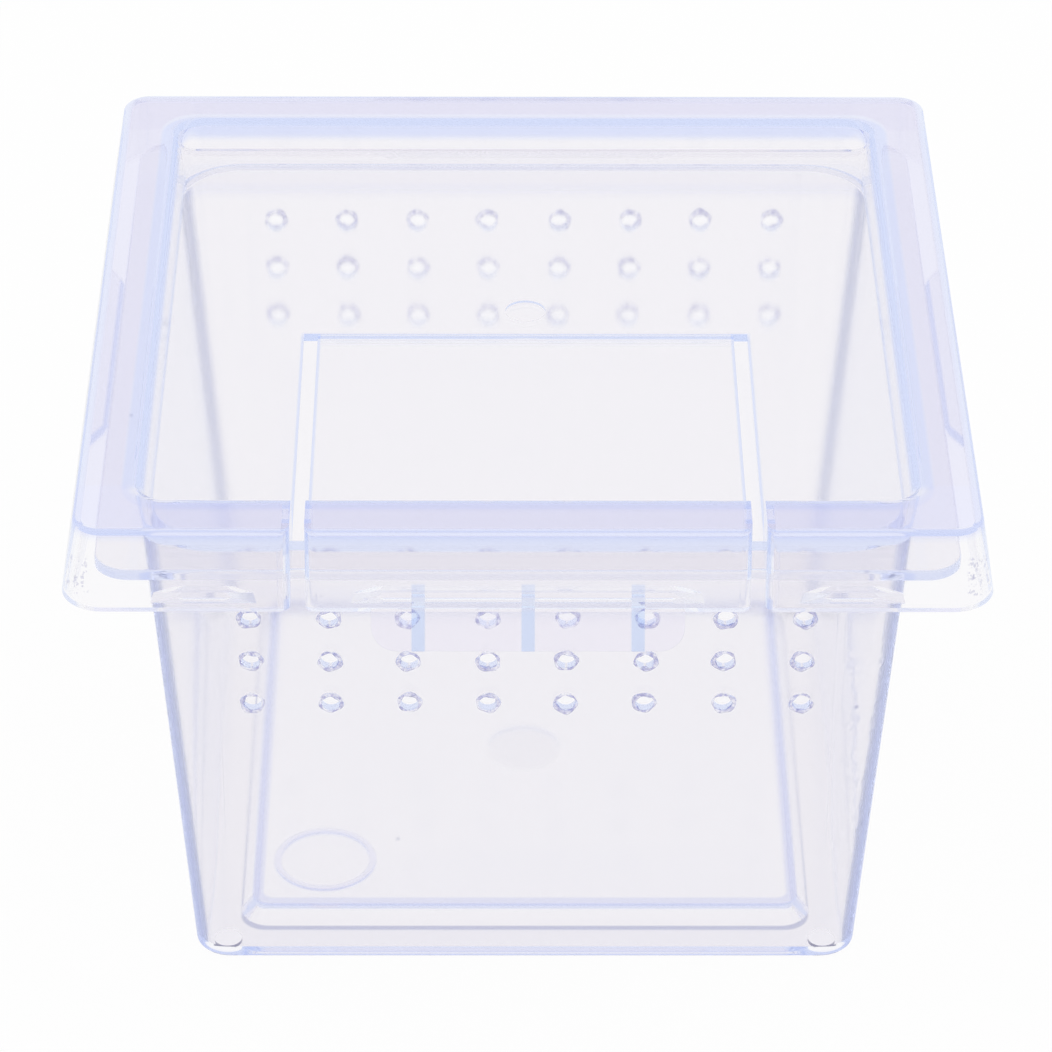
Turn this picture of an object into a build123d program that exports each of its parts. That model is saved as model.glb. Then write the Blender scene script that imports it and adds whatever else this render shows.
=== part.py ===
from build123d import *
import os
from math import atan, cos, degrees, hypot, radians, tan

# Insect box: a clear moulded tub with vent holes, and a lid with a lift-up access flap.
# Millimetres. The front, with the flap's pull tab, faces -Y, and +Z is up.

# Overall sizes
lid_size = 110.0            # across the top edge of the lid, both ways
total_height = 75.0         # from the surface under the feet to the top of the rim

# Lid shell
lid_wall = 1.2
panel_thickness = 1.1       # the sunk panel, which lies on the tub's flange
lid_corner = 3.5            # corner radius in plan, at the top edge
lid_edge_round = 0.6
skirt_height = 10.6
skirt_flare = 1.75          # how much further out the skirt ends than it starts
rim_width = 7.8             # from the lid's top edge to the edge of the sunk panel
recess_depth = 5.9
recess_corner = 2.5         # at the panel
recess_draft = 9.0          # degrees
rim_round = 2.0             # rounding of the rim's inner edge
gate_mark_diameter = 5.3
gate_mark_behind_centre = 6.6
mark_depth = 0.3

# Flap
flap_width = 54.0
flap_slit = 1.8             # the slit at its sides, and the groove that hinges it
hinge_ahead = 0.2           # of the box's centre line
hinge_web_thickness = 0.35
hinge_clearance = 0.05      # between the web's edge and the turning flap
lid_end_wall = 1.0          # closes the rim's hollow beside the slit, on the lid
flap_end_wall = 0.8         # the same on the flap
slit_corner = 1.5           # rounds the upright corners of skirt and end wall
tab_width = 38.0
tab_thickness = 1.3
tab_out = 2.6               # how far the tab's tip stands out past the skirt
tab_drop = 4.0              # and how far it reaches below it
tab_corner = 3.0
tab_rib_count = 3
tab_rib_pitch = 13.3
tab_rib_width = 1.6
tab_rib_height = 1.1        # above the tab's face, at its tip
tab_rib_rise = 3.6          # how far a rib climbs up the skirt
tab_root = 0.5              # how far the tab is rooted in the skirt

# Snap beads inside the skirt, just under the tub's flange
bead_length = 45.0
front_bead_length = 15.0    # the two beside the flap
front_bead_gap = 2.0        # from the lid's end wall to such a bead
bead_height = 1.4
bead_clearance = 0.3        # to the flange, sideways and below it
bead_run_in = 5.0           # length of its slanted ends
bead_crest_bevel = 0.55

# Tub
base_size = 85.7
tub_draft = 4.3             # degrees
tub_wall = 1.3
floor_thickness = 1.4
base_corner = 4.5
base_edge_round = 0.8
foot_ring_width = 6.3       # the flat ring round the base that the feet stand under
base_recess = 2.4           # how far the base is pushed up inside the ring
base_recess_slope = 35.0    # degrees from upright
base_recess_corner = 2.5
foot_diameter = 3.6
foot_height = 0.6
foot_inset = 4.1            # from the base's sides to a foot's centre
flange_thickness = 1.3
flange_clearance = 2.0      # from its edge to the inside of the lid's skirt
seat_film = 0.02            # air between the flange and the panel that lies on it
flange_corner = 4.5
flange_edge_round = 0.4
floor_gate_diameter = 10.0
floor_ring_diameter = 13.4
floor_ring_width = 0.8
floor_ring_height = 0.3
floor_ring_x = -26.4
floor_ring_y = -26.2        # from the box's centre line

# Vent holes
vent_diameter = 2.4
vent_columns = 8
vent_rows = 3
vent_pitch = 9.8
front_vent_middle = 50.1    # height of the middle row
front_vent_row_pitch = 6.7
rear_vent_middle = 51.9
rear_vent_row_pitch = 7.3

# Worked out for the lid
skirt_slope = skirt_flare / skirt_height
skirt_angle = degrees(atan(skirt_slope))
skirt_bottom = total_height - skirt_height
skirt_size = lid_size + 2 * skirt_flare
recess_slope = tan(radians(recess_draft))
recess_size = lid_size - 2 * rim_width
panel_size = recess_size - 2 * recess_depth * recess_slope
panel_top = total_height - recess_depth
panel_under = panel_top - panel_thickness

# Worked out for the flap
slit_span = flap_width + 2 * flap_slit
slit_rear = flap_slit / 2 - hinge_ahead
flap_rear = -flap_slit / 2 - hinge_ahead
tab_length = hypot(tab_out, tab_drop)
tab_run_y = -tab_out / tab_length                  # the way the tab runs, out and down
tab_run_z = -tab_drop / tab_length
front_reach = skirt_size / 2 + tab_out - tab_rib_height * tab_run_z
past_tab = front_reach + lid_wall                  # cuts in plan end out here

# Worked out for the tub
tub_height = panel_under - seat_film
flange_under = tub_height - flange_thickness
skirt_room = lid_size + 2 * ((total_height - tub_height) * skirt_slope - lid_wall)
flange_size = skirt_room - 2 * flange_clearance
tub_slope = tan(radians(tub_draft))
wall_across = tub_wall / cos(radians(tub_draft))   # the wall measured level
moat_floor = foot_height + floor_thickness         # inside, over the foot ring
recess_tan = tan(radians(base_recess_slope))
recess_mouth = base_size - 2 * foot_ring_width     # the recess under the base, at the ring
floor_skin_across = floor_thickness / cos(radians(base_recess_slope))
plateau_foot = recess_mouth + 2 * (floor_skin_across - floor_thickness * recess_tan)
floor_top = moat_floor + base_recess

# The origin lies under the middle of the whole, pull tab included
y_centre = (front_reach - skirt_size / 2) / 2


def level(z):
    """A level plane at height z, centred on the box."""
    return Plane((0, y_centre, z))


def across(x):
    """A plane across X at x, centred on the box: its own x runs to the rear, its y up."""
    return Plane(origin=(x, y_centre, 0), x_dir=(0, 1, 0), z_dir=(1, 0, 0))


def skirt_half(z):
    """Half the lid's outer width at height z."""
    return lid_size / 2 + (total_height - z) * skirt_slope


def tub_half(z):
    """Half the tub's outer width at height z."""
    return base_size / 2 + (z - foot_height) * tub_slope


def cover_moulding():
    """Lid and flap as one shell, before the slit round the flap is cut."""
    with BuildPart() as shell:
        with BuildSketch(level(skirt_bottom)):
            RectangleRounded(skirt_size, skirt_size, lid_corner + skirt_flare)
        extrude(amount=skirt_height, taper=skirt_angle)
        fillet(shell.faces().sort_by(Axis.Z)[-1].edges(), lid_edge_round)
        # Hollow under the rim
        hollow = skirt_size - 2 * lid_wall
        with BuildSketch(level(skirt_bottom)):
            RectangleRounded(hollow, hollow, lid_corner + skirt_flare - lid_wall)
        extrude(amount=skirt_height - lid_wall, taper=skirt_angle, mode=Mode.SUBTRACT)
        # Cup of the sunk panel, then its recess
        cup = panel_size + 2 * lid_wall - 2 * panel_thickness * recess_slope
        with BuildSketch(level(panel_under)):
            RectangleRounded(cup, cup, recess_corner + lid_wall)
        extrude(amount=recess_depth + panel_thickness - lid_wall / 2, taper=-recess_draft)
        with BuildSketch(level(panel_top)):
            RectangleRounded(panel_size, panel_size, recess_corner)
        extrude(amount=recess_depth, taper=-recess_draft, mode=Mode.SUBTRACT)
        top_face = shell.faces().filter_by(Axis.Z).sort_by(Axis.Z)[-1]
        fillet(top_face.inner_wires()[0].edges(), rim_round)
    return shell.part


def rim_end_wall(x, thickness, foot):
    """Closes the front rim's hollow at x, and runs down behind the skirt to height foot."""
    behind = -(recess_size + lid_wall) / 2
    clear_of_flange = -(flange_size / 2 + bead_clearance)
    top = total_height - lid_wall / 2
    corners = [
        (behind, top),
        (lid_wall / 2 - skirt_half(top), top),
        (lid_wall / 2 - skirt_half(foot), foot),
    ]
    if foot < panel_under:
        corners += [(clear_of_flange, foot), (clear_of_flange, panel_under)]
    corners.append((behind, panel_under))
    with BuildPart() as wall:
        with BuildSketch(across(x)):
            with BuildLine():
                Polyline(*corners, close=True)
            make_face()
        extrude(amount=thickness / 2, both=True)
    return wall.part


def slit_corner_cut(x, way):
    """Rounds the skirt's upright corner at a slit face at x; the moulding lies on the side of way."""
    front = -skirt_size / 2
    with BuildPart() as cut:
        with BuildSketch(level(skirt_bottom - lid_wall)):
            with Locations((x, front - lid_wall * skirt_slope)):
                Rectangle(2 * slit_corner, 2 * slit_corner)
                with Locations((way * slit_corner, slit_corner)):
                    Circle(slit_corner, mode=Mode.SUBTRACT)
        extrude(amount=skirt_height + 2 * lid_wall, dir=(0, skirt_slope, 1))
    return cut.part


def snap_bead(length):
    """A bead for the front skirt, centred at x = 0, its crest just clear of the flange."""
    top = flange_under - bead_clearance
    crest = -(flange_size / 2 + bead_clearance)
    root = lid_wall / 2 - skirt_half(top - bead_height)
    with BuildPart() as bead:
        with BuildSketch(level(top - bead_height)):
            with BuildLine():
                Polyline(
                    (-length / 2, root),
                    (bead_run_in - length / 2, crest),
                    (length / 2 - bead_run_in, crest),
                    (length / 2, root),
                    close=True,
                )
            make_face()
        extrude(amount=bead_height)
        crest_edges = bead.edges().filter_by(Axis.X).group_by(Axis.Y)[-1]
        chamfer(crest_edges, bead_crest_bevel)
    return bead.part


def pull_tab():
    """The flared tab under the flap's skirt, and the ribs that stiffen it."""
    start_y, start_z = -skirt_size / 2, skirt_bottom
    tip_y, tip_z = start_y - tab_out, start_z - tab_drop
    root_y, root_z = start_y - tab_root * tab_run_y, start_z - tab_root * tab_run_z
    back_y, back_z = -tab_run_z * tab_thickness, tab_run_y * tab_thickness
    rib_top = skirt_bottom + tab_rib_rise
    with BuildPart() as tab:
        with BuildSketch(across(0)):
            with BuildLine():
                Polyline(
                    (root_y, root_z),
                    (tip_y, tip_z),
                    (tip_y + back_y, tip_z + back_z),
                    (root_y + back_y, root_z + back_z),
                    close=True,
                )
            make_face()
        extrude(amount=tab_width / 2, both=True)
        tip_edges = tab.edges().filter_by(
            lambda e: abs(e.length - tab_thickness) < 0.01
        ).sort_by(Axis.Z)[:2]
        fillet(tip_edges, tab_corner)
        for i in range(tab_rib_count):
            rib_x = (i - (tab_rib_count - 1) / 2) * tab_rib_pitch
            with BuildSketch(across(rib_x)):
                with BuildLine():
                    Polyline(
                        (lid_wall / 2 - skirt_half(rib_top), rib_top),
                        (tip_y + tab_rib_height * tab_run_z, tip_z - tab_rib_height * tab_run_y),
                        (tip_y + back_y / 2, tip_z + back_z / 2),
                        (root_y + back_y / 2, root_z + back_z / 2),
                        close=True,
                    )
                make_face()
            extrude(amount=tab_rib_width / 2, both=True)
    return tab.part


moulding = cover_moulding()

with BuildPart() as lid:
    add(moulding)
    for side in (-1, 1):
        end_x = side * (slit_span + lid_end_wall) / 2
        add(rim_end_wall(end_x, lid_end_wall, skirt_bottom))
        beside_flap = side * (
            slit_span / 2 + lid_end_wall + front_bead_gap + front_bead_length / 2
        )
        with Locations((beside_flap, 0, 0)):
            add(snap_bead(front_bead_length))
    for turn in (90, 180, 270):
        with Locations(Location((0, y_centre, 0), (0, 0, turn)) * Location((0, -y_centre, 0))):
            add(snap_bead(bead_length))
    # The slit round the flap, with the flap in it
    with BuildSketch(level(0)):
        with Locations((0, (slit_rear - past_tab) / 2)):
            Rectangle(slit_span, slit_rear + past_tab)
    extrude(amount=total_height, mode=Mode.SUBTRACT)
    for side in (-1, 1):
        add(slit_corner_cut(side * slit_span / 2, side), mode=Mode.SUBTRACT)
    with BuildSketch(level(panel_top)):
        with Locations((0, gate_mark_behind_centre)):
            Circle(gate_mark_diameter / 2)
    extrude(amount=-mark_depth, mode=Mode.SUBTRACT)
lid.part.label = "lid"

with BuildPart() as flap:
    add(moulding)
    for side in (-1, 1):
        end_x = side * (flap_width - flap_end_wall) / 2
        add(rim_end_wall(end_x, flap_end_wall, panel_under))
    with BuildSketch(level(0)):
        with Locations((0, (flap_rear - past_tab) / 2)):
            Rectangle(flap_width, flap_rear + past_tab)
    extrude(amount=total_height, mode=Mode.INTERSECT)
    for side in (-1, 1):
        add(slit_corner_cut(side * flap_width / 2, -side), mode=Mode.SUBTRACT)
    add(snap_bead(bead_length))
    add(pull_tab())
flap.part.label = "flap"

with BuildPart() as flap_hinge:
    with BuildSketch(level(panel_top - hinge_web_thickness)):
        with Locations((0, (slit_rear + flap_rear + hinge_clearance) / 2)):
            Rectangle(flap_width, flap_slit - hinge_clearance)
    extrude(amount=hinge_web_thickness)
flap_hinge.part.label = "flap_hinge"

with BuildPart() as tub:
    with BuildSketch(level(foot_height)):
        RectangleRounded(base_size, base_size, base_corner)
    extrude(amount=tub_height - foot_height, taper=-tub_draft)
    fillet(tub.faces().sort_by(Axis.Z)[0].edges(), base_edge_round)
    # Inside, down to the moat round the raised floor
    inside = 2 * (tub_half(moat_floor) - wall_across)
    inside_corner = base_corner - tub_wall + floor_thickness * tub_slope
    with BuildSketch(level(moat_floor)):
        RectangleRounded(inside, inside, inside_corner)
    extrude(amount=tub_height - moat_floor, taper=-tub_draft, mode=Mode.SUBTRACT)
    # Flange that carries the lid
    neck = 2 * (tub_half(flange_under) - wall_across / 2)
    neck_corner = base_corner + (flange_under - foot_height) * tub_slope - wall_across / 2
    with BuildSketch(level(flange_under)):
        RectangleRounded(flange_size, flange_size, flange_corner)
        RectangleRounded(neck, neck, neck_corner, mode=Mode.SUBTRACT)
    extrude(amount=flange_thickness)
    mouth_face = tub.faces().filter_by(Axis.Z).sort_by(Axis.Z)[-1]
    fillet(mouth_face.outer_wire().edges(), flange_edge_round)
    # Raised floor, and the recess under it
    with BuildSketch(level(moat_floor)):
        RectangleRounded(plateau_foot, plateau_foot, base_recess_corner + floor_thickness)
    extrude(amount=base_recess, taper=base_recess_slope)
    with BuildSketch(level(foot_height)):
        RectangleRounded(recess_mouth, recess_mouth, base_recess_corner)
    extrude(amount=base_recess, taper=base_recess_slope, mode=Mode.SUBTRACT)
    # Gate disc under the floor, and the ring near its front corner
    with BuildSketch(level(foot_height + base_recess)):
        Circle(floor_gate_diameter / 2)
    extrude(amount=mark_depth, mode=Mode.SUBTRACT)
    with BuildSketch(level(floor_top)):
        with Locations((floor_ring_x, floor_ring_y)):
            Circle(floor_ring_diameter / 2)
            Circle(floor_ring_diameter / 2 - floor_ring_width, mode=Mode.SUBTRACT)
    extrude(amount=floor_ring_height)
    # Feet
    foot_pitch = base_size - 2 * foot_inset
    with BuildSketch(level(0)):
        with GridLocations(foot_pitch, foot_pitch, 2, 2):
            Circle(foot_diameter / 2)
    extrude(amount=foot_height)
    # Vent holes, in the front wall and the rear wall
    for way, middle, row_pitch in (
        (-1, front_vent_middle, front_vent_row_pitch),
        (1, rear_vent_middle, rear_vent_row_pitch),
    ):
        with BuildSketch(Plane(origin=(0, y_centre, middle), x_dir=(1, 0, 0), z_dir=(0, way, 0))):
            with GridLocations(vent_pitch, row_pitch, vent_columns, vent_rows):
                Circle(vent_diameter / 2)
        extrude(amount=lid_size / 2, mode=Mode.SUBTRACT)
tub.part.label = "tub"

os.makedirs("parts", exist_ok=True)
export_step(tub.part, "parts/tub.step")
export_step(lid.part, "parts/lid.step")
export_step(flap.part, "parts/flap.step")
export_step(flap_hinge.part, "parts/flap_hinge.step")
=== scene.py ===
import math
import random

import bmesh
import bpy
from mathutils import Matrix, Vector


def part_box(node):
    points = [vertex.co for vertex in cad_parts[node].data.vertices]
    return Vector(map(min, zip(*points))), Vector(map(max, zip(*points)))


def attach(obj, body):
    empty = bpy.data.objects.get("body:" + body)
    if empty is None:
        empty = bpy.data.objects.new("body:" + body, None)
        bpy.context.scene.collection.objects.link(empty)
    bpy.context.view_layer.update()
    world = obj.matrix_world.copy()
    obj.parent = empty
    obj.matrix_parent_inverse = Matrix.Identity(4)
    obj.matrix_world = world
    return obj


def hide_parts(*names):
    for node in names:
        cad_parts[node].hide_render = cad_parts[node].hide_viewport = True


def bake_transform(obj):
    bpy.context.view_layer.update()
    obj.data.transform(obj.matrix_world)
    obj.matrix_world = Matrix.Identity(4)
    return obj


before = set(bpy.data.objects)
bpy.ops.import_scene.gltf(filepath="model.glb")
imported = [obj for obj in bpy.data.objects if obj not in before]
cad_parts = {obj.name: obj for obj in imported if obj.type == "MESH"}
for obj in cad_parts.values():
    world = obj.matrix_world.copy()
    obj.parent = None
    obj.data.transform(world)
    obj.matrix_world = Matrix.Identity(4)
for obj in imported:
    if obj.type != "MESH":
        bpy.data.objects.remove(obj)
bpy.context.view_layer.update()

# A clear plastic insect box. Its solids are the CAD solids, with real refraction, and tints by place:
# painted shade and painted glow where the plastic looks blue or lavender. Metres. The front faces -Y,
# and +Z is up.

# Camera, as fitted to the photograph
PITCH_DOWN = 33.146         # degrees
YAW = 0.49                  # degrees
ROLL = -0.311               # degrees
LENS_MM = 172.37
SENSOR_MM = 36.0
DISTANCE = 0.67037
AIM_HEIGHT = 0.039745
AIM_X = 0.000166

# Room
WHITE = (1.0, 1.0, 1.0, 1.0)
FLOOR_SIZE = 6.0
FLOOR_COLOUR = (0.8, 0.8, 0.8, 1.0)
FLOOR_WHITENESS = 0.97      # the share that is plain white, to the camera and through plastic

# Bounces of light in the clear plastic
BOUNCES = 16
GLOW_AFTER = 8.5            # bounces, after which light that is caught comes out as a glow

# Lid and flap
LID_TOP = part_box("lid")[1].z
SKIRT_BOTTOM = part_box("lid")[0].z
LID_HALF = 0.055            # half the lid's top edge
LID_CORNER = 0.0035
PANEL_TOP = 0.0691
RIM_WALL_HALF = 0.0472      # the sunk panel's wall, at the top of the rim
RIM_ROUND = 0.002
RECESS_CORNER = 0.0025
FLAP_HALF_WIDTH = 0.027
SLIT_WIDTH = 0.0018
SLIT_END = FLAP_HALF_WIDTH + SLIT_WIDTH
TAB_RIB_PITCH = 0.0133

# Hinge web
HINGE_AHEAD = 0.0002        # of the box's centre line
HINGE_GROOVE = 0.0018
WEB_THICKNESS = 0.00035
WEB_GAP = 0.00003           # to the lid's and the flap's edge
WEB_HOLLOW = 0.25           # how deep its top is hollow, as a share of its thickness
WEB_UNDERSIDE = 0.3         # how hollow its underside is, as a share of that
WEB_STEPS = 12              # across the groove
WEB_COLUMNS = 27            # along it

# Tub
TUB_SLOPE = math.tan(math.radians(4.3))
FLANGE_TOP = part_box("tub")[1].z
BASE_HALF = 0.04285
BASE_CORNER = 0.0045
FOOT_HEIGHT = 0.0006
FLOOR_TOP = 0.0044
FLOOR_TOP_HALF = 0.0354
RECESS_MOUTH_HALF = 0.03655
FLOOR_RING_X = -0.0264
FLOOR_RING_Y = -0.0262      # from the centre line

# Vent holes
VENT_RADIUS = 0.0012
VENT_COLUMNS = 8
VENT_ROWS = 3
VENT_PITCH = 0.0098
FRONT_VENTS = (0.0501, 0.0067)      # height of the middle row, and the pitch of the rows
REAR_VENTS = (0.0519, 0.0073)
BURR_SEED = 7
BURR_THICKNESS = 0.00022            # half the height of the bead round a hole
BURR_SIZE = 1.12                    # the bead's radius, as a share of the hole's
BURR_WANDER = 0.05                  # how far that share wanders
BURR_STEPS = 22                     # round the hole
BURR_SIDES = 6                      # of the bead's section

# Clear plastic
ROUGHNESS = 0.07
REFRACTION = 1.5
ABSORPTION = (0.15, 0.36, 0.92, 1.0)
ABSORPTION_DENSITY = 6.0
DEEP_GLOW = (0.84, 0.88, 1.0, 1.0)
CLEAR = (0.968, 0.961, 0.974, 1.0)
TUB_CLEAR = (0.94, 0.928, 0.95, 1.0)
SKIRT_CLEAR = (1.0, 1.0, 1.0, 1.0)

# Tints: painted shade and painted glow on the rim, edges, slits, ribs, floor steps, feet, base and
# corners; the tab, crumb, speck, disc and burr colours are the plastic's own
# Painted lavender shade on the lid's rim, darker at the rear and bluer at the front
RIM_PAINTED_SHADE = (0.75, 0.75, 0.95, 1.0)
FRONT_RIM_PAINTED_SHADE = (0.75, 0.765, 1.0, 1.0)
REAR_RIM_PAINTED_SHADE = (0.715, 0.705, 0.925, 1.0)
# Painted pale blue glow along the lid's edges
EDGE_PAINTED_GLOW = (0.76, 0.81, 1.0, 1.0)
# Painted pale blue glow beside the slits and along the hinge groove
SLIT_PAINTED_GLOW = (0.78, 0.84, 1.0, 1.0)
TAB_TINT = (0.97, 0.955, 0.995, 1.0)
# Painted pale blue glow on the tab's ribs
RIB_PAINTED_GLOW = (0.74, 0.83, 1.0, 1.0)
CRUMB_TINT = (0.58, 0.58, 0.72, 1.0)
SPECK_TINT = (0.45, 0.45, 0.6, 1.0)
# Painted shade line along the raised floor's edge
FLOOR_EDGE_PAINTED_SHADE = (0.68, 0.71, 0.94, 1.0)
# Painted shade line round the floor ring
FLOOR_RING_PAINTED_SHADE = (0.82, 0.82, 0.96, 1.0)
DISC_TINT = (0.89, 0.885, 0.92, 1.0)
# Painted shade: a dark line round the base recess's mouth, and the feet nearly black
FOOT_LINE_PAINTED_SHADE = (0.34, 0.36, 0.56, 1.0)
FOOT_PAINTED_SHADE = (0.05, 0.05, 0.12, 1.0)
# Painted shade band along the tub's base edge
BASE_EDGE_PAINTED_SHADE = (0.82, 0.82, 0.95, 1.0)
# Painted blue shade on the tub's upright corners, part of it as a matt cover
CORNER_PAINTED_SHADE = (0.58, 0.64, 1.0, 1.0)
CORNER_SHADE_BLUE = (0.64, 0.70, 1.0, 1.0)
CORNER_SHADE_SHARE = 0.4           # the share of the matt painted blue shade over the tub's upright corners
BURR_CLEAR = (0.97, 0.97, 1.0, 1.0)
BURR_TINT = (0.5, 0.5, 0.72, 1.0)

# Where the tints lie. A pair is a soft edge: where it starts and ends. A band has its two ends and how
# soft they are. A LEVEL is a height, AHEAD is along Y from the centre line, and ASIDE is |X|.
RIM_LEVEL = (-0.0012, -0.0006)              # from the lid's top
RIM_OUTWARD = (0.001, 0.002)                # from the sunk panel's wall
OUTER_EDGE_LEVEL = (-0.0018, -0.001)        # from the lid's top
OUTER_EDGE_OUTWARD = (-0.0012, -0.0004)     # from the lid's outline
INNER_EDGE_LEVEL = (-0.003, -0.0018)        # from the lid's top
INNER_EDGE_BAND = (-0.0003, RIM_ROUND, 0.0006)      # outward from the sunk panel's wall
FRONT_AHEAD = (-0.0455, -0.0445)
REAR_AHEAD = (0.0445, 0.0455)
FRONT_EDGE_FADE = 0.55                      # how much fainter the painted glow on the rim's edges is at the front
FLAP_SKIRT_LEVEL = (0.0675, 0.069)
FLAP_SKIRT_AHEAD = (-0.0545, -0.0538)
FLAP_SKIRT_ASIDE = (FLAP_HALF_WIDTH, FLAP_HALF_WIDTH + 0.001)
SLIT_BORDER = 0.0002                        # a painted pale blue glow beside the slit
SLIT_SOFT = 0.0003
GROOVE_BAND = (-0.0012, 0.0012, 0.0003)     # from the middle of the hinge groove
GROOVE_ASIDE = (SLIT_END, SLIT_END + 0.0004)
GROOVE_STRENGTH = 0.25
TAB_LEVEL = (-0.0006, -0.0002)              # from the skirt's bottom
RIB_LEVEL = (0.0034, 0.0038)                # from the skirt's bottom
RIB_AHEAD = (-LID_HALF - 0.0008, -LID_HALF - 0.0004)
RIB_SIDE = (0.0007, 0.0009)                 # from the rib's middle
CRUMB_GRAIN = 1400.0
CRUMB_SHARE = (0.58, 0.62)                  # of the grain's values
CRUMB_BAND = (0.0662, 0.0705, 0.0006)       # of heights
CRUMB_AHEAD = (-0.0534, -0.0528)
CRUMB_ASIDE = (0.0528, 0.0534)
SPECK_CELLS = 120.0
SPECK_CHOSEN = 0.93                         # only cells with a greater random value have a speck
SPECK_EDGE = (0.02, 0.05)
FLOOR_BAND = (-0.0002, 0.0005, 0.0001)      # of heights, from the top of the raised floor
FLOOR_EDGE_BAND = (-0.0008, 0.0003, 0.0005)     # outward from the raised floor's edge
FLOOR_RING_BAND = (0.0059, 0.0067, 0.0002)  # from the ring's middle
DISC_EDGE = (0.0046, 0.005)                 # from the middle of the floor
DISC_LEVEL = (-0.0009, -0.0007)             # from the top of the raised floor
WALL_OUTWARD = (0.0, 0.0005)                # from the mouth of the base recess
FOOT_LINE_BAND = (-0.0006, 0.0005, 0.0004)  # outward from the mouth of the base recess
FOOT_LINE_LEVEL = (0.001, 0.0012)
FOOT_BAND = (0.00008, 0.00052, 0.00004)     # of heights
BASE_EDGE_BAND = (0.0005, 0.0016, 0.0004)   # of heights
BASE_EDGE_OUTWARD = (-0.0012, -0.0006)      # from the tub's outline
CORNER_ASIDE = (-0.002, -0.0006)            # from the tub's side
CORNER_BEND = (-0.0006, 0.0)                # from where the side wall begins to bend
CORNER_OUTWARD = (-0.0006, -0.0003)         # from the tub's outline
CORNER_LEVEL = (-0.0018, -0.0013)           # from the flange's top
BURR_GRAIN = 1500.0
BURR_SHARE = (0.42, 0.58)                   # of the grain's values

tub_low, tub_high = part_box("tub")
CENTRE_Y = (tub_low.y + tub_high.y) / 2     # the tub is symmetric about the box's centre line


def make_camera():
    """The photograph's view: nearly front on, from above, through a long lens."""
    pitch, yaw, roll = (math.radians(a) for a in (PITCH_DOWN, YAW, ROLL))
    forward = Vector((
        math.sin(yaw) * math.cos(pitch), math.cos(yaw) * math.cos(pitch), -math.sin(pitch)
    ))
    right = Vector((math.cos(yaw), -math.sin(yaw), 0))
    down = forward.cross(right)
    rolled_right = math.cos(roll) * right + math.sin(roll) * down
    rolled_down = math.cos(roll) * down - math.sin(roll) * right
    aim = Vector((AIM_X, CENTRE_Y, AIM_HEIGHT))
    data = bpy.data.cameras.new("camera")
    data.lens = LENS_MM
    data.sensor_width = SENSOR_MM
    camera = bpy.data.objects.new("camera", data)
    turn = Matrix((rolled_right, -rolled_down, -forward)).transposed()
    camera.matrix_world = Matrix.Translation(aim - DISTANCE * forward) @ turn.to_4x4()
    bpy.context.scene.collection.objects.link(camera)
    bpy.context.scene.camera = camera


def make_world():
    """Even white light from all round."""
    world = bpy.data.worlds.new("studio")
    bpy.context.scene.world = world
    world.use_nodes = True
    background = world.node_tree.nodes["Background"]
    background.inputs["Color"].default_value = WHITE
    background.inputs["Strength"].default_value = 1.0


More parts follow.
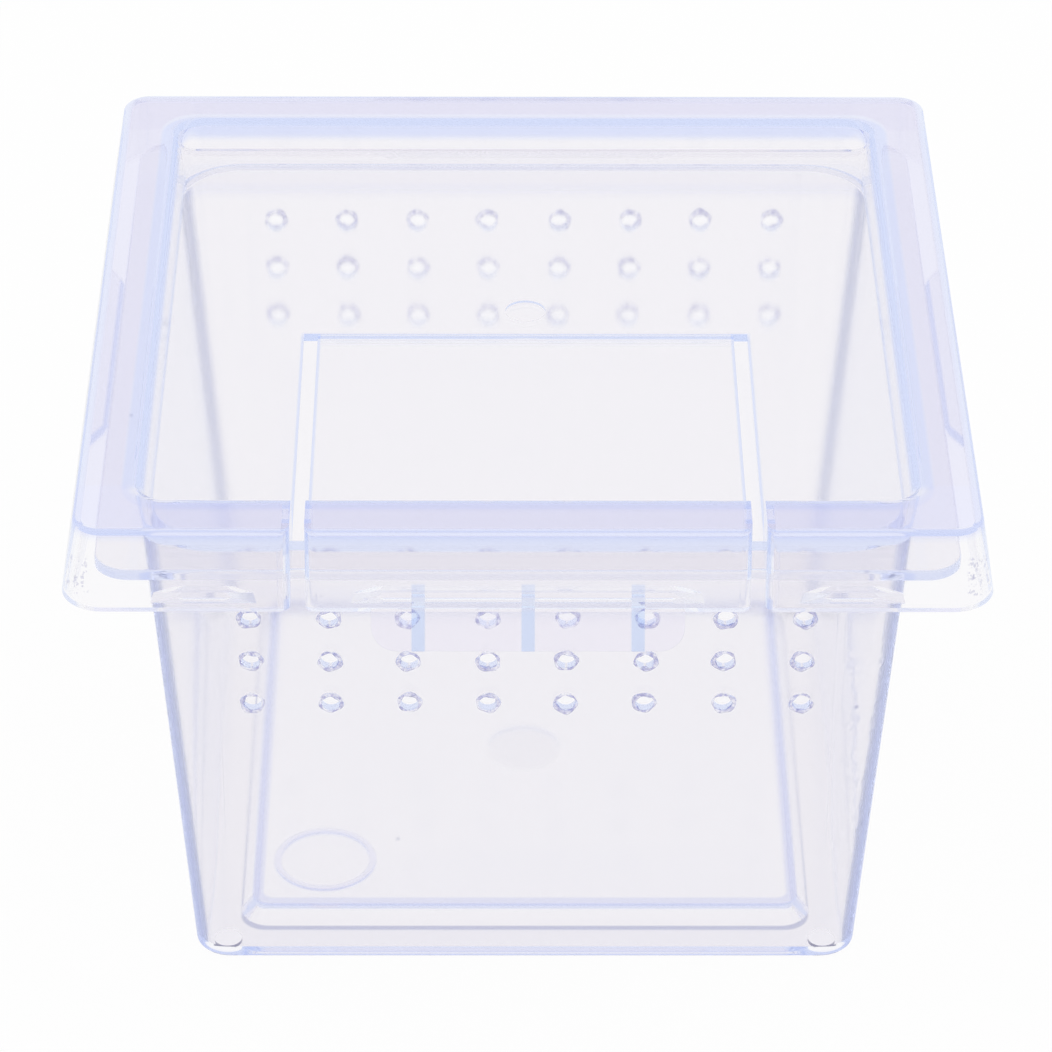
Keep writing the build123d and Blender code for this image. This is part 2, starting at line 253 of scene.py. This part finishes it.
class Shader:
    """One material's nodes, with short forms for calculations on sockets."""

    def __init__(self, name):
        self.material = bpy.data.materials.new(name)
        self.material.use_nodes = True
        self.material.cycles.emission_sampling = "NONE"
        self.nodes = self.material.node_tree.nodes
        self.links = self.material.node_tree.links
        self.principled = self.nodes["Principled BSDF"]
        self.out = self.nodes["Material Output"]

    def put(self, socket, value):
        """Links a socket, or sets a plain value."""
        if isinstance(value, bpy.types.NodeSocket):
            self.links.new(value, socket)
        else:
            socket.default_value = value

    def calc(self, operation, a, b=0.0):
        node = self.nodes.new("ShaderNodeMath")
        node.operation = operation
        self.put(node.inputs[0], a)
        self.put(node.inputs[1], b)
        return node.outputs[0]

    def both(self, *masks):
        """The product of masks."""
        result = masks[0]
        for mask in masks[1:]:
            result = self.calc("MULTIPLY", result, mask)
        return result

    def most(self, *masks):
        """The greatest of masks."""
        result = masks[0]
        for mask in masks[1:]:
            result = self.calc("MAXIMUM", result, mask)
        return result

    def above(self, value, low, high):
        """0 below low, 1 above high, smooth between."""
        node = self.nodes.new("ShaderNodeMapRange")
        node.interpolation_type = "SMOOTHSTEP"
        self.put(node.inputs["Value"], value)
        node.inputs["From Min"].default_value = low
        node.inputs["From Max"].default_value = high
        return node.outputs["Result"]

    def below(self, value, low, high):
        """1 below low, 0 above high, smooth between."""
        return self.calc("SUBTRACT", 1.0, self.above(value, low, high))

    def within(self, value, low, high, soft):
        """1 from low to high, 0 further than soft outside them."""
        return self.both(self.above(value, low - soft, low), self.below(value, high, high + soft))

    def place(self):
        """Sockets for the place on the object, with Y from the centre line."""
        coordinates = self.nodes.new("ShaderNodeTexCoord")
        split = self.nodes.new("ShaderNodeSeparateXYZ")
        self.spot = coordinates.outputs["Object"]
        self.links.new(self.spot, split.inputs[0])
        self.sideways = split.outputs["X"]
        self.aside = self.calc("ABSOLUTE", self.sideways)
        self.ahead = self.calc("SUBTRACT", split.outputs["Y"], CENTRE_Y)
        self.z = split.outputs["Z"]

    def square(self, half, corner):
        """The distance outward from an upright square tube with rounded corners."""
        core = self.calc("SUBTRACT", half, corner)
        ways = [
            self.calc("SUBTRACT", way, core) for way in (self.aside, self.calc("ABSOLUTE", self.ahead))
        ]
        squares = [self.calc("POWER", self.calc("MAXIMUM", way, 0.0), 2.0) for way in ways]
        outside = self.calc("SQRT", self.calc("ADD", *squares))
        inside = self.calc("MINIMUM", self.calc("MAXIMUM", *ways), 0.0)
        return self.calc("SUBTRACT", self.calc("ADD", outside, inside), corner)

    def from_upright(self, x, y):
        """The distance from the upright line through x, y, the latter from the centre line."""
        squares = [
            self.calc("POWER", self.calc("SUBTRACT", way, middle), 2.0)
            for way, middle in ((self.sideways, x), (self.ahead, y))
        ]
        return self.calc("SQRT", self.calc("ADD", *squares))

    def grain(self, scale):
        """A fine random pattern on the object."""
        noise = self.nodes.new("ShaderNodeTexNoise")
        self.links.new(self.spot, noise.inputs["Vector"])
        noise.inputs["Scale"].default_value = scale
        return noise.outputs["Fac"]

    def colour_mix(self, fac, a, b):
        node = self.nodes.new("ShaderNodeMix")
        node.data_type = "RGBA"
        for number, value in ((0, fac), (6, a), (7, b)):    # its factor, A and B for colours
            self.put(node.inputs[number], value)
        return node.outputs[2]

    def tint(self, layers):
        """Lays colours over each other, each where its mask is 1, and puts specks on them."""
        colour = layers[0]
        for mask, over in layers[1:]:
            colour = self.colour_mix(mask, colour, over)
        cells = self.nodes.new("ShaderNodeTexVoronoi")
        self.links.new(self.spot, cells.inputs["Vector"])
        cells.inputs["Scale"].default_value = SPECK_CELLS
        split = self.nodes.new("ShaderNodeSeparateColor")
        self.links.new(cells.outputs["Color"], split.inputs[0])
        chosen = self.calc("GREATER_THAN", split.outputs[0], SPECK_CHOSEN)
        speck = self.both(chosen, self.below(cells.outputs["Distance"], *SPECK_EDGE))
        self.put(self.principled.inputs["Base Color"], self.colour_mix(speck, colour, SPECK_TINT))

    def over(self, shader, fac, cover):
        """Covers fac of a shader with another."""
        mix = self.nodes.new("ShaderNodeMixShader")
        self.put(mix.inputs["Fac"], fac)
        self.links.new(shader, mix.inputs[1])
        self.links.new(cover, mix.inputs[2])
        return mix.outputs[0]

    def matt(self, colour):
        node = self.nodes.new("ShaderNodeBsdfDiffuse")
        node.inputs["Color"].default_value = colour
        return node.outputs[0]

    def light(self, colour):
        node = self.nodes.new("ShaderNodeEmission")
        node.inputs["Color"].default_value = colour
        return node.outputs[0]

    def finish(self, shader):
        """Light caught in the plastic for long comes out as a pale blue glow, and thickness tints."""
        path = self.nodes.new("ShaderNodeLightPath")
        caught = self.calc("GREATER_THAN", path.outputs["Ray Depth"], GLOW_AFTER)
        self.links.new(self.over(shader, caught, self.light(DEEP_GLOW)), self.out.inputs["Surface"])
        absorb = self.nodes.new("ShaderNodeVolumeAbsorption")
        absorb.inputs["Color"].default_value = ABSORPTION
        absorb.inputs["Density"].default_value = ABSORPTION_DENSITY
        self.links.new(absorb.outputs["Volume"], self.out.inputs["Volume"])
        return self.material


def clear_shader(name):
    """Clear plastic, with the sockets for tints by place."""
    s = Shader(name)
    s.principled.inputs["Transmission Weight"].default_value = 1.0
    s.principled.inputs["Roughness"].default_value = ROUGHNESS
    s.principled.inputs["IOR"].default_value = REFRACTION
    s.place()
    return s


def lid_plastic():
    """The lid's clear plastic: painted shade along the rim, painted glow on its edges, slits and ribs,
    and a tint on the tab.
    """
    s = clear_shader("lid_plastic")
    from_top = s.calc("SUBTRACT", s.z, LID_TOP)
    from_bottom = s.calc("SUBTRACT", s.z, SKIRT_BOTTOM)
    from_outline = s.square(LID_HALF, LID_CORNER)
    from_recess = s.square(RIM_WALL_HALF, RECESS_CORNER)
    from_groove = s.calc("ADD", s.ahead, HINGE_AHEAD)
    front = s.below(s.ahead, *FRONT_AHEAD)
    rear = s.above(s.ahead, *REAR_AHEAD)

    # Painted pale blue glow beside the slits and, fainter, along the hinge groove.
    slit = s.both(
        s.within(s.aside, FLAP_HALF_WIDTH - SLIT_BORDER, SLIT_END + SLIT_BORDER, SLIT_SOFT),
        s.below(from_groove, HINGE_GROOVE / 2, HINGE_GROOVE / 2 + SLIT_SOFT),
    )
    groove = s.both(s.within(from_groove, *GROOVE_BAND), s.below(s.aside, *GROOVE_ASIDE))
    slit_and_groove = s.most(slit, s.both(groove, GROOVE_STRENGTH))

    flap_skirt = s.both(
        s.below(s.ahead, *FLAP_SKIRT_AHEAD), s.below(s.aside, *FLAP_SKIRT_ASIDE),
        s.below(s.z, *FLAP_SKIRT_LEVEL),
    )

    # Painted lavender shade on the rim, darker at the rear and bluer at the front.
    rim = s.both(s.above(from_top, *RIM_LEVEL), s.above(from_recess, *RIM_OUTWARD))
    rim_painted_shade = s.colour_mix(rear, s.colour_mix(front, RIM_PAINTED_SHADE, FRONT_RIM_PAINTED_SHADE), REAR_RIM_PAINTED_SHADE)

    # Painted pale blue glow along the top's outer and inner edges, fainter at the front.
    outer_edge = s.both(
        s.above(from_top, *OUTER_EDGE_LEVEL), s.above(from_outline, *OUTER_EDGE_OUTWARD)
    )
    inner_edge = s.both(s.above(from_top, *INNER_EDGE_LEVEL), s.within(from_recess, *INNER_EDGE_BAND))
    fainter_at_front = s.calc("SUBTRACT", 1.0, s.both(front, FRONT_EDGE_FADE))
    edges = s.both(s.most(outer_edge, inner_edge), fainter_at_front)

    tab = s.below(from_bottom, *TAB_LEVEL)
    # Painted pale blue glow on the tab's ribs.
    from_side_rib = s.calc("ABSOLUTE", s.calc("SUBTRACT", s.aside, TAB_RIB_PITCH))
    rib = s.both(
        s.below(s.calc("MINIMUM", s.aside, from_side_rib), *RIB_SIDE),
        s.below(from_bottom, *RIB_LEVEL), s.below(s.ahead, *RIB_AHEAD),
    )

    crumbs = s.both(
        s.above(s.grain(CRUMB_GRAIN), *CRUMB_SHARE), s.above(s.aside, *CRUMB_ASIDE),
        s.below(s.ahead, *CRUMB_AHEAD), s.within(s.z, *CRUMB_BAND),
    )

    s.tint((
        CLEAR, (slit_and_groove, SLIT_PAINTED_GLOW), (flap_skirt, SKIRT_CLEAR), (rim, rim_painted_shade),
        (edges, EDGE_PAINTED_GLOW), (tab, TAB_TINT), (rib, RIB_PAINTED_GLOW), (crumbs, CRUMB_TINT),
    ))
    return s.finish(s.principled.outputs[0])


def tub_plastic():
    """The tub's clear plastic: painted blue shade at its upright corners, and painted shade at the
    steps of its floor, round its feet and along its base.
    """
    s = clear_shader("tub_plastic")
    widening = s.calc("MULTIPLY", s.z, TUB_SLOPE)
    half = s.calc("ADD", widening, BASE_HALF - FOOT_HEIGHT * TUB_SLOPE)
    corner_radius = s.calc("ADD", widening, BASE_CORNER)
    from_outline = s.square(half, corner_radius)
    from_mouth = s.square(RECESS_MOUTH_HALF, RECESS_CORNER)
    from_floor = s.calc("SUBTRACT", s.z, FLOOR_TOP)
    on_floor = s.within(from_floor, *FLOOR_BAND)

    wall = s.above(from_mouth, *WALL_OUTWARD)
    # Painted shade line along the raised floor's edge.
    floor_edge = s.both(s.within(s.square(FLOOR_TOP_HALF, RECESS_CORNER), *FLOOR_EDGE_BAND), on_floor)
    # Painted shade line round the floor ring.
    floor_ring = s.both(
        s.within(s.from_upright(FLOOR_RING_X, FLOOR_RING_Y), *FLOOR_RING_BAND), on_floor
    )
    disc = s.both(s.below(s.from_upright(0.0, 0.0), *DISC_EDGE), s.below(from_floor, *DISC_LEVEL))
    # Painted shade: a dark line round the base recess's mouth, and the feet painted nearly black.
    foot_line = s.both(s.within(from_mouth, *FOOT_LINE_BAND), s.below(s.z, *FOOT_LINE_LEVEL))
    foot = s.within(s.z, *FOOT_BAND)
    # Painted shade band along the base's outer edge.
    base_edge = s.both(s.within(s.z, *BASE_EDGE_BAND), s.above(from_outline, *BASE_EDGE_OUTWARD))

    # Painted blue shade on the tub's upright corners, where the sides bend away.
    into_bend = s.calc("SUBTRACT", s.calc("ADD", s.calc("ABSOLUTE", s.ahead), corner_radius), half)
    corner = s.both(
        s.above(s.calc("SUBTRACT", s.aside, half), *CORNER_ASIDE), s.above(into_bend, *CORNER_BEND),
        s.above(from_outline, *CORNER_OUTWARD),
        s.below(s.calc("SUBTRACT", s.z, FLANGE_TOP), *CORNER_LEVEL),
    )

    s.tint((
        CLEAR, (wall, TUB_CLEAR), (floor_edge, FLOOR_EDGE_PAINTED_SHADE), (floor_ring, FLOOR_RING_PAINTED_SHADE),
        (disc, DISC_TINT), (foot_line, FOOT_LINE_PAINTED_SHADE), (foot, FOOT_PAINTED_SHADE),
        (base_edge, BASE_EDGE_PAINTED_SHADE), (corner, CORNER_PAINTED_SHADE),
    ))
    # A matt painted blue shade covers part of the upright corners.
    return s.finish(s.over(s.principled.outputs[0], s.both(corner, CORNER_SHADE_SHARE), s.matt(CORNER_SHADE_BLUE)))


def burr_plastic():
    """The rough, hazy plastic of the beads round the vent holes."""
    s = clear_shader("burr_plastic")
    haze = s.above(s.grain(BURR_GRAIN), *BURR_SHARE)
    s.put(s.principled.inputs["Base Color"], s.colour_mix(haze, BURR_CLEAR, BURR_TINT))
    return s.finish(s.principled.outputs[0])


def make_floor():
    """A pale matt floor, nearly white to the camera and through the plastic."""
    mesh = bpy.data.meshes.new("floor")
    h = FLOOR_SIZE / 2
    mesh.from_pydata([(-h, -h, 0), (h, -h, 0), (h, h, 0), (-h, h, 0)], [], [(0, 1, 2, 3)])
    floor = bpy.data.objects.new("floor", mesh)
    bpy.context.scene.collection.objects.link(floor)
    s = Shader("floor")
    s.principled.inputs["Base Color"].default_value = FLOOR_COLOUR
    s.principled.inputs["Roughness"].default_value = 1.0
    s.principled.inputs["Specular IOR Level"].default_value = 0.0
    path = s.nodes.new("ShaderNodeLightPath")
    seen = s.most(*(path.outputs[f"Is {kind} Ray"] for kind in ("Camera", "Transmission", "Glossy")))
    surface = s.over(s.principled.outputs[0], s.both(seen, FLOOR_WHITENESS), s.light(WHITE))
    s.links.new(surface, s.out.inputs["Surface"])
    mesh.materials.append(s.material)


def new_piece(name, bm, material, smooth=True):
    """Turns a bmesh into a piece of the object."""
    mesh = bpy.data.meshes.new(name)
    bmesh.ops.recalc_face_normals(bm, faces=bm.faces)
    bm.to_mesh(mesh)
    bm.free()
    mesh.polygons.foreach_set("use_smooth", [smooth] * len(mesh.polygons))
    mesh.materials.append(material)
    piece = bpy.data.objects.new(name, mesh)
    bpy.context.scene.collection.objects.link(piece)
    return piece


def tub_half(z):
    """Half the tub's outer width at height z."""
    return BASE_HALF + (z - FOOT_HEIGHT) * TUB_SLOPE


def uneven_ring(bm, centre, across, up, out, rng):
    """A bead round a hole, closed on itself, whose radius and thickness wander."""
    phases = [rng.uniform(0, math.tau) for _ in range(4)]
    rings = []
    for i in range(BURR_STEPS):
        turn = math.tau * i / BURR_STEPS
        wander = math.sin(turn + phases[0]) + 0.8 * math.sin(3 * turn + phases[1])
        swell = 1 + 0.5 * math.sin(turn + phases[2]) + 0.35 * math.sin(5 * turn + phases[3])
        radius = VENT_RADIUS * (BURR_SIZE + BURR_WANDER * wander)
        thick = BURR_THICKNESS * swell
        ring = []
        for j in range(BURR_SIDES):
            tilt = math.tau * j / BURR_SIDES
            reach = radius + thick * math.cos(tilt)
            spot = centre + reach * (math.cos(turn) * across + math.sin(turn) * up) \
                + thick * math.sin(tilt) * out
            ring.append(bm.verts.new(spot))
        rings.append(ring)
    for i in range(BURR_STEPS):
        a, b = rings[i], rings[(i + 1) % BURR_STEPS]
        for j in range(BURR_SIDES):
            k = (j + 1) % BURR_SIDES
            bm.faces.new((a[j], a[k], b[k], b[j]))


def make_vent_burrs(material):
    """The uneven beads that the moulding left round the vent holes, on the tub's outside."""
    rng = random.Random(BURR_SEED)
    for name, way, (middle, row_pitch) in (
        ("front_vent_burrs", -1, FRONT_VENTS), ("rear_vent_burrs", 1, REAR_VENTS)
    ):
        bm = bmesh.new()
        up = Vector((0, way * TUB_SLOPE, 1)).normalized()
        out = Vector((0, way, -TUB_SLOPE)).normalized()
        for row in range(VENT_ROWS):
            z = middle + (row - (VENT_ROWS - 1) / 2) * row_pitch
            for column in range(VENT_COLUMNS):
                x = (column - (VENT_COLUMNS - 1) / 2) * VENT_PITCH
                centre = Vector((x, CENTRE_Y + way * tub_half(z), z))
                uneven_ring(bm, centre, Vector((1, 0, 0)), up, out, rng)
        piece = new_piece(name, bm, material)
        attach(piece, "tub")


def make_hinge_web(material):
    """The thin web of the living hinge between lid and flap, a little hollow."""
    groove_middle = CENTRE_Y - HINGE_AHEAD
    rear = groove_middle + HINGE_GROOVE / 2 - WEB_GAP
    front = groove_middle - HINGE_GROOVE / 2 + WEB_GAP
    bm = bmesh.new()
    rows = []
    for i in range(WEB_STEPS + 1):
        share = i / WEB_STEPS
        y = rear + (front - rear) * share
        hollow = WEB_HOLLOW * WEB_THICKNESS * math.sin(math.pi * share)
        row = []
        for z in (PANEL_TOP - hollow, PANEL_TOP - WEB_THICKNESS + WEB_UNDERSIDE * hollow):
            row.append([
                bm.verts.new((FLAP_HALF_WIDTH * (2 * k / WEB_COLUMNS - 1), y, z))
                for k in range(WEB_COLUMNS + 1)
            ])
        rows.append(row)
    for near, far in zip(rows, rows[1:]):
        for side in (0, 1):
            for k in range(WEB_COLUMNS):
                bm.faces.new((near[side][k], near[side][k + 1], far[side][k + 1], far[side][k]))
        for k in (0, WEB_COLUMNS):
            bm.faces.new((near[0][k], far[0][k], far[1][k], near[1][k]))
    for row in (rows[0], rows[-1]):
        for k in range(WEB_COLUMNS):
            bm.faces.new((row[0][k], row[0][k + 1], row[1][k + 1], row[1][k]))
    web = new_piece("hinge_web", bm, material, smooth=False)
    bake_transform(web)
    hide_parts("flap_hinge")


bpy.context.scene.view_settings.view_transform = "Standard"
cycles = bpy.context.scene.cycles
cycles.max_bounces = BOUNCES
cycles.transmission_bounces = BOUNCES
cycles.glossy_bounces = BOUNCES
make_camera()
make_world()
make_floor()
lid_material = lid_plastic()
tub_material = tub_plastic()
for name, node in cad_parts.items():
    node.data.materials.clear()
    node.data.materials.append(tub_material if name == "tub" else lid_material)
make_vent_burrs(burr_plastic())
make_hinge_web(lid_material)
